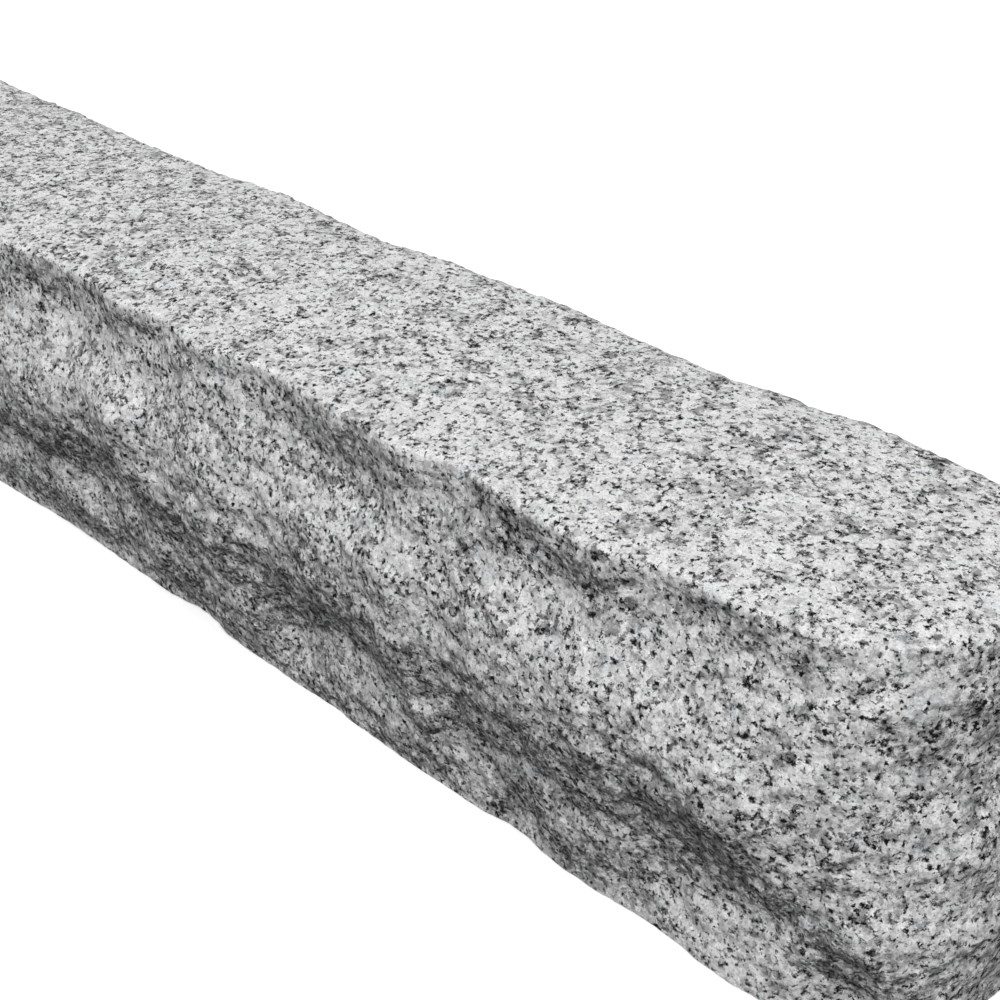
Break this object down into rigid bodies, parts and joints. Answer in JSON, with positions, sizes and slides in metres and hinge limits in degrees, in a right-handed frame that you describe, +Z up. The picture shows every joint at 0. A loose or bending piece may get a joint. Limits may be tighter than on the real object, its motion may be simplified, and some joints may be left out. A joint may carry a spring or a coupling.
{
  "type": "granite kerb stone",
  "caption": "Long squared block of split granite with rough wavy faces, one rounded corner and a flat bed, for edging a road or path.",
  "frame": {"origin": "middle of the bed at the bottom, under the centre of the stone's box", "axes": "+X along the stone towards its rounded near end, +Y from the show face to the back face, +Z up"},
  "size_m": [1.0074, 0.1786, 0.205],
  "materials": {
    "granite": "matte"
  },
  "bodies": {
    "root": {"kerb_stone": "granite"}
  },
  "joints": []
}
